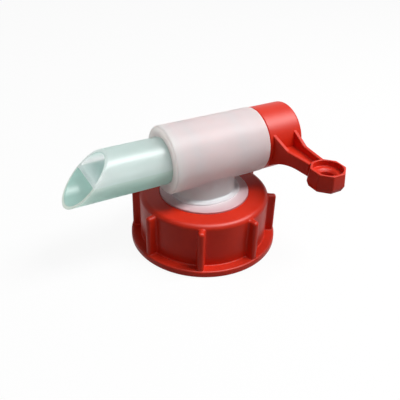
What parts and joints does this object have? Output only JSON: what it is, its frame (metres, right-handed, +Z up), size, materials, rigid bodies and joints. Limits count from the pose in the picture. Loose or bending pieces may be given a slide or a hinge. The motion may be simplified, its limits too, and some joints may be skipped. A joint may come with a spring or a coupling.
{
  "type": "jerrycan tap",
  "caption": "Screw-cap pouring tap for a jerrycan: ribbed red cap, swivelling milky barrel with a lever-turned valve plug and a slant-cut translucent spout.",
  "frame": {"origin": "on the cap's axis in the plane of its bottom face, where the thread opens", "axes": "+Z up along the cap's axis, X along the barrel with the spout towards -X, lever towards -Y when shut"},
  "size_m": [0.1176, 0.0916, 0.0645],
  "materials": {
    "red_cap": "moulded HDPE, satin gloss",
    "red_lever": "moulded HDPE, satin gloss",
    "red_plug": "moulded LDPE, smooth",
    "natural_body": "natural moulded HDPE, milky",
    "clear_spout": "natural moulded PP, translucent",
    "gasket_foam": "closed-cell PE foam",
    "black_rubber": "moulded EPDM"
  },
  "bodies": {
    "cap": {"screw_cap": "red_cap"},
    "tap": {"tap_body": "natural_body", "port_seal": "black_rubber", "neck_gasket": "gasket_foam"},
    "valve": {"valve_plug": "red_plug", "front_o_ring": "black_rubber", "rear_o_ring": "black_rubber", "spout_tube": "clear_spout", "lever_handle": "red_lever"}
  },
  "joints": [
    {"name": "tap_swivel", "type": "hinge", "parent": "cap", "child": "tap", "pos_m": [0, 0, 0.0251], "axis": [0, 0, 1], "continuous": true},
    {"name": "lever_turn", "type": "hinge", "parent": "tap", "child": "valve", "pos_m": [0, 0, 0.04835], "axis": [-1, 0, 0], "range_deg": [0, 90]}
  ]
}
